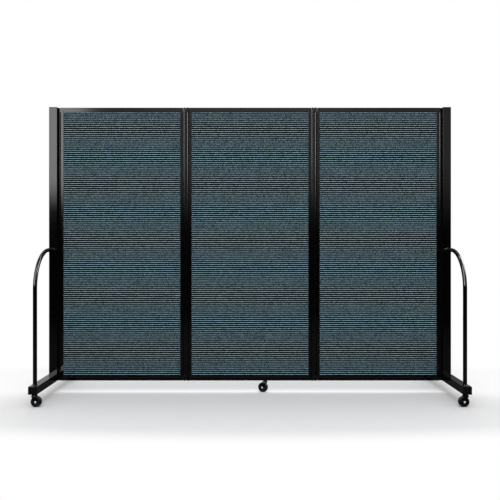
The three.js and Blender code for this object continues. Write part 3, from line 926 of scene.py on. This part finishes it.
# The fork is what its raked side view and its horseshoe front view have in common.
fork_boss = 10 * MM
boss_opening = 20
front_drop = 4.5 * MM
rear_lean = 2 * MM
shoulder_drop = 7.2 * MM
fork_wall = 3.5 * MM
crown_height = 6 * MM
fork_edge = 0.5 * MM
crown_low = fork_high.z - crown_height
side_view = [
    (-race_radius, fork_high.z), (-race_radius, fork_high.z - front_drop),
    *arc((trail, wheel_radius), fork_boss, 180 - boss_opening, 360 + boss_opening, round_steps),
    (race_radius + rear_lean, fork_high.z),
]
inner = fork_half - fork_wall
below = wheel_radius - 2 * fork_boss
front_view = [
    (fork_half, below), (fork_half, fork_high.z - shoulder_drop), (race_radius, fork_high.z),
    (-race_radius, fork_high.z), (-fork_half, fork_high.z - shoulder_drop), (-fork_half, below),
    (-inner, below), (-inner, crown_low), (inner, crown_low), (inner, below),
]
fork = trace("fork", [(x, -wheel_radius, z) for x, z in side_view])
pull((0, 2 * wheel_radius, 0))
finish(fork)
horseshoe = trace("horseshoe", [(-2 * wheel_radius, y, z) for y, z in front_view])
pull((4 * wheel_radius, 0, 0))
finish(horseshoe)
cut(fork, horseshoe, "INTERSECT")
bpy.data.objects.remove(horseshoe)
finish(fork, edge=fork_edge, segments=moulded_edge_steps)

# The axle bolt has a domed head on each side.
axle_radius = 3 * MM
head_rim = 1 * MM
axle_steps = 40
head_radius = (axle_high.z - axle_low.z) / 2
head_face = fork_half + running_gap
dome_foot = head_face + head_rim
head_profile = [
    (axle_radius, head_face), (head_radius, head_face), (head_radius, dome_foot),
    *((head_radius * x, dome_foot + (axle_half - dome_foot) * y)
      for x, y in arc((0, 0), 1, 10, 90, round_corner_steps)),
]
axle_profile = [*((r, -y) for r, y in reversed(head_profile)), *head_profile]
axle = turned("axle", [(trail + r, y, wheel_radius) for r, y in axle_profile], axle_steps,
              axis=(0, 1, 0), centre=(trail, 0, wheel_radius))
finish(axle)

# The wheel has a rounded tread on a dished core with a hub.
bore_radius = 3.6 * MM
hub_radius = 8.5 * MM
rim_radius = 20 * MM
dish = 5 * MM
slope = 1.2 * MM
tread_round = 4 * MM
wheel_steps = 72
half_profile = [
    (bore_radius, 0), (bore_radius, wheel_half), (hub_radius, wheel_half),
    (hub_radius + slope, wheel_half - dish), (rim_radius, wheel_half - dish),
    (rim_radius + slope, wheel_half),
    *arc((wheel_radius - tread_round, wheel_half - tread_round), tread_round, 90, 0,
         round_corner_steps),
    (wheel_radius, 0),
]
wheel_profile = [
    *half_profile, *((r, -y) for r, y in reversed(half_profile[1:-1])), half_profile[0]]
wheel = turned("wheel", [(trail + r, y, wheel_radius) for r, y in wheel_profile], wheel_steps,
               axis=(0, 1, 0), centre=(trail, 0, wheel_radius))
finish(wheel, crease=30)

dark_plate = black_zinc()
bright_plate = zinc_flake()
nylon = moulded_plastic("black nylon", "040405", roughness=0.18, specular=0.2, grain=1.2 * MM)
rubber = tyre_rubber()
caster_parts = (
    ("stem", stem, dark_plate, "pin_steel"), ("fork", fork, nylon, "fork_nylon"),
    ("axle", axle, bright_plate, "zinc_steel"), ("wheel", wheel, rubber, "wheel_rubber"),
)
for caster in caster_names:
    stem_place = middle_of(f"{caster}_caster_stem")
    trailing = middle_of(f"{caster}_caster_wheel") - stem_place
    turn = math.atan2(trailing.y, trailing.x)
    for part, model, material, slot in caster_parts:
        name = f"{caster}_caster_{part}"
        piece = place_copy(model, "dressed_" + name, (stem_place.x, stem_place.y, 0), turn)
        dress(piece, material, name)
for model in (stem, fork, axle, wheel):
    bpy.data.objects.remove(model)

# The floor: pale paper that takes the shadow and runs out to white for the camera. Glossy
# surfaces mirror it as dark, and as black further out.
floor_size = 60
white_from = 0.74
white_to = 0.98
white_stretch = (0.3, 1, 0)
mirrored_level = 0.065
mirrored_from = 1.8
mirrored_to = 4.6
bpy.ops.object.select_all(action="DESELECT")
bpy.ops.mesh.primitive_plane_add(size=floor_size, location=(0, 0, 0))
floor = bpy.context.object
floor.name = "floor"
floor_paper, tree = new_material("pale floor")
light_path = node(tree, "ShaderNodeLightPath")
place = node(tree, "ShaderNodeTexCoord").outputs["Object"]
reach = node(tree, "ShaderNodeVectorMath", {0: place}, operation="LENGTH").outputs["Value"]
mirrored_tone = node(tree, "ShaderNodeMapRange", {
    "Value": reach, "From Min": mirrored_from, "From Max": mirrored_to,
    "To Min": mirrored_level, "To Max": 0.0})
tone = node(tree, "ShaderNodeMix", {
    "Factor": light_path.outputs["Is Glossy Ray"], 6: linear("ededee"),
    7: mirrored_tone.outputs["Result"]}, data_type="RGBA")
paper = node(tree, "ShaderNodeBsdfDiffuse", {"Color": tone.outputs[2]})
flattened = node(tree, "ShaderNodeVectorMath", {0: place, 1: white_stretch}, operation="MULTIPLY")
spread = node(tree, "ShaderNodeVectorMath", {0: flattened.outputs[0]}, operation="LENGTH")
far = node(tree, "ShaderNodeMapRange", {
    "Value": spread.outputs["Value"], "From Min": white_from, "From Max": white_to},
    interpolation_type="SMOOTHSTEP")
seen_far = node(tree, "ShaderNodeMath", {
    0: far.outputs["Result"], 1: light_path.outputs["Is Camera Ray"]}, operation="MULTIPLY")
white = node(tree, "ShaderNodeEmission", {"Color": (1, 1, 1, 1), "Strength": 1.0})
blend = node(tree, "ShaderNodeMixShader", {
    0: seen_far.outputs[0], 1: paper.outputs[0], 2: white.outputs[0]})
node(tree, "ShaderNodeOutputMaterial", {"Surface": blend.outputs[0]})
floor.data.materials.append(floor_paper)

# The room: white to the camera and an even dome to matt surfaces. Glossy surfaces mirror a studio
# that is dark below eye level, with a back wall that is paler at the left, and three patches. A
# patch has its brightness, and the spans over which its edges fade: the left and the right one
# in degrees round the room, the bottom and the top one in height.
dome_level = 0.7
front_level = 0.4
back_left_level = 0.6
back_right_level = 0.15
dark_to = 0.026
light_from = 0.156
back_fade = 0.2
side_fade = 0.25
patches = {
    "low pale wall at the left": (3.7, (-42, -36), (-16.8, -15.4), (0.065, 0.12), (0.3, 0.42)),
    "tall strip lamp at the left": (9.0, (-51, -47), (-29, -25), (0.1, 0.18), (0.8, 0.9)),
    "lamp at the right": (10.0, (72, 78), (122, 130), (0.34, 0.4), (0.8, 0.88)),
}
world = bpy.data.worlds.new("studio")
bpy.context.scene.world = world
world.use_nodes = True
tree = world.node_tree
tree.nodes.clear()
light_path = node(tree, "ShaderNodeLightPath")
direction = node(tree, "ShaderNodeSeparateXYZ", {
    0: node(tree, "ShaderNodeTexCoord").outputs["Generated"]})
forward = node(tree, "ShaderNodeMath", {0: direction.outputs["Y"], 1: -1}, operation="MULTIPLY")
azimuth = node(tree, "ShaderNodeMath", {
    0: direction.outputs["X"], 1: forward.outputs[0]}, operation="ARCTAN2").outputs[0]
height = direction.outputs["Z"]


def fade(value, low, high, start=0.0, end=1.0):
    """A smooth step from one level to another."""
    return node(tree, "ShaderNodeMapRange", {
        "Value": value, "From Min": low, "From Max": high, "To Min": start, "To Max": end},
        interpolation_type="SMOOTHSTEP").outputs["Result"]


def product(first, second):
    """Two levels multiplied."""
    return node(tree, "ShaderNodeMath", {0: first, 1: second}, operation="MULTIPLY").outputs[0]


def add_patch(level, brightness, left, right, bottom, top):
    """Add a bright patch to a level."""
    shape = product(fade(azimuth, *map(math.radians, left)),
                    fade(azimuth, *map(math.radians, right), 1, 0))
    shape = product(shape, product(fade(height, *bottom), fade(height, *top, 1, 0)))
    return node(tree, "ShaderNodeMath", {0: shape, 1: brightness, 2: level},
                operation="MULTIPLY_ADD").outputs[0]


back_level = fade(direction.outputs["X"], -side_fade, side_fade, back_left_level, back_right_level)
to_back = fade(direction.outputs["Y"], -back_fade, back_fade)
around = node(tree, "ShaderNodeMix", {"Factor": to_back, 2: front_level, 3: back_level}).outputs[0]
mirrored = product(fade(height, dark_to, light_from), around)
for patch in patches.values():
    mirrored = add_patch(mirrored, *patch)
level = node(tree, "ShaderNodeMix", {
    "Factor": light_path.outputs["Is Glossy Ray"], 2: dome_level, 3: mirrored})
shown = node(tree, "ShaderNodeMix", {
    "Factor": light_path.outputs["Is Camera Ray"], 2: level.outputs[0], 3: 1.0})
room = node(tree, "ShaderNodeBackground", {"Color": (1, 1, 1, 1), "Strength": shown.outputs[0]})
node(tree, "ShaderNodeOutputWorld", {"Surface": room.outputs[0]})


def softbox(name, place, target, size, power):
    """A rectangular lamp that faces a point."""
    bpy.ops.object.select_all(action="DESELECT")
    bpy.ops.object.light_add(type="AREA", location=place)
    lamp = bpy.context.object
    lamp.name = name
    lamp.data.shape = "RECTANGLE"
    lamp.data.size, lamp.data.size_y = size
    lamp.data.energy = power
    lamp.rotation_euler = (Vector(target) - Vector(place)).to_track_quat("-Z", "Y").to_euler()
    return lamp


# A high lamp in front lights the cloth, and a high lamp behind casts the soft shadow forwards.
softbox("front lamp", place=(0, -5.5, 6.0), target=(0, 0, 0.9), size=(4, 6), power=205)
softbox("back lamp", place=(0, 1.3, 4.5), target=(0, -0.1, 0), size=(4, 2.7), power=97)

scene = bpy.context.scene
scene.view_settings.view_transform = "Standard"
